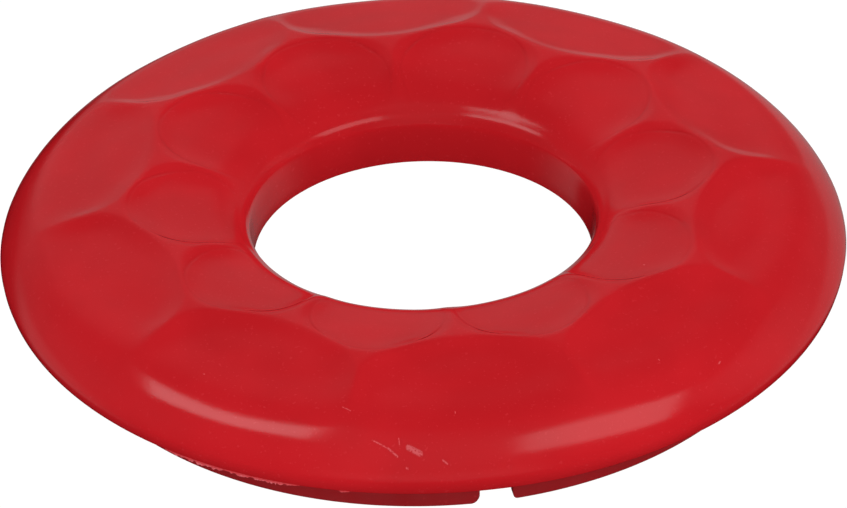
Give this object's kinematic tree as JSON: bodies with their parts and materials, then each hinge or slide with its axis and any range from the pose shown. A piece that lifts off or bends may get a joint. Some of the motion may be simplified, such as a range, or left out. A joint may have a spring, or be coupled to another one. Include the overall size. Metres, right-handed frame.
{
  "type": "flying ring",
  "caption": "Thick hollow flying ring for lawn play, with a round centre hole, shallow dimples all over its top and a notched foot skirt below the rim.",
  "frame": {"origin": "centre of the foot's bottom plane, on the ring's axis", "axes": "+Z along the ring's axis, up through the dimpled top; -Y is the side that faces the viewer"},
  "size_m": [0.2, 0.2, 0.0315],
  "materials": {
    "shell_plastic": "glossy moulded red",
    "base_plastic": "satin moulded red",
    "screw_steel": "zinc plated"
  },
  "bodies": {
    "root": {"dimpled_shell": "shell_plastic", "base_ring": "base_plastic", "screw_1": "screw_steel", "screw_2": "screw_steel", "screw_3": "screw_steel", "screw_4": "screw_steel", "screw_5": "screw_steel"}
  },
  "joints": []
}
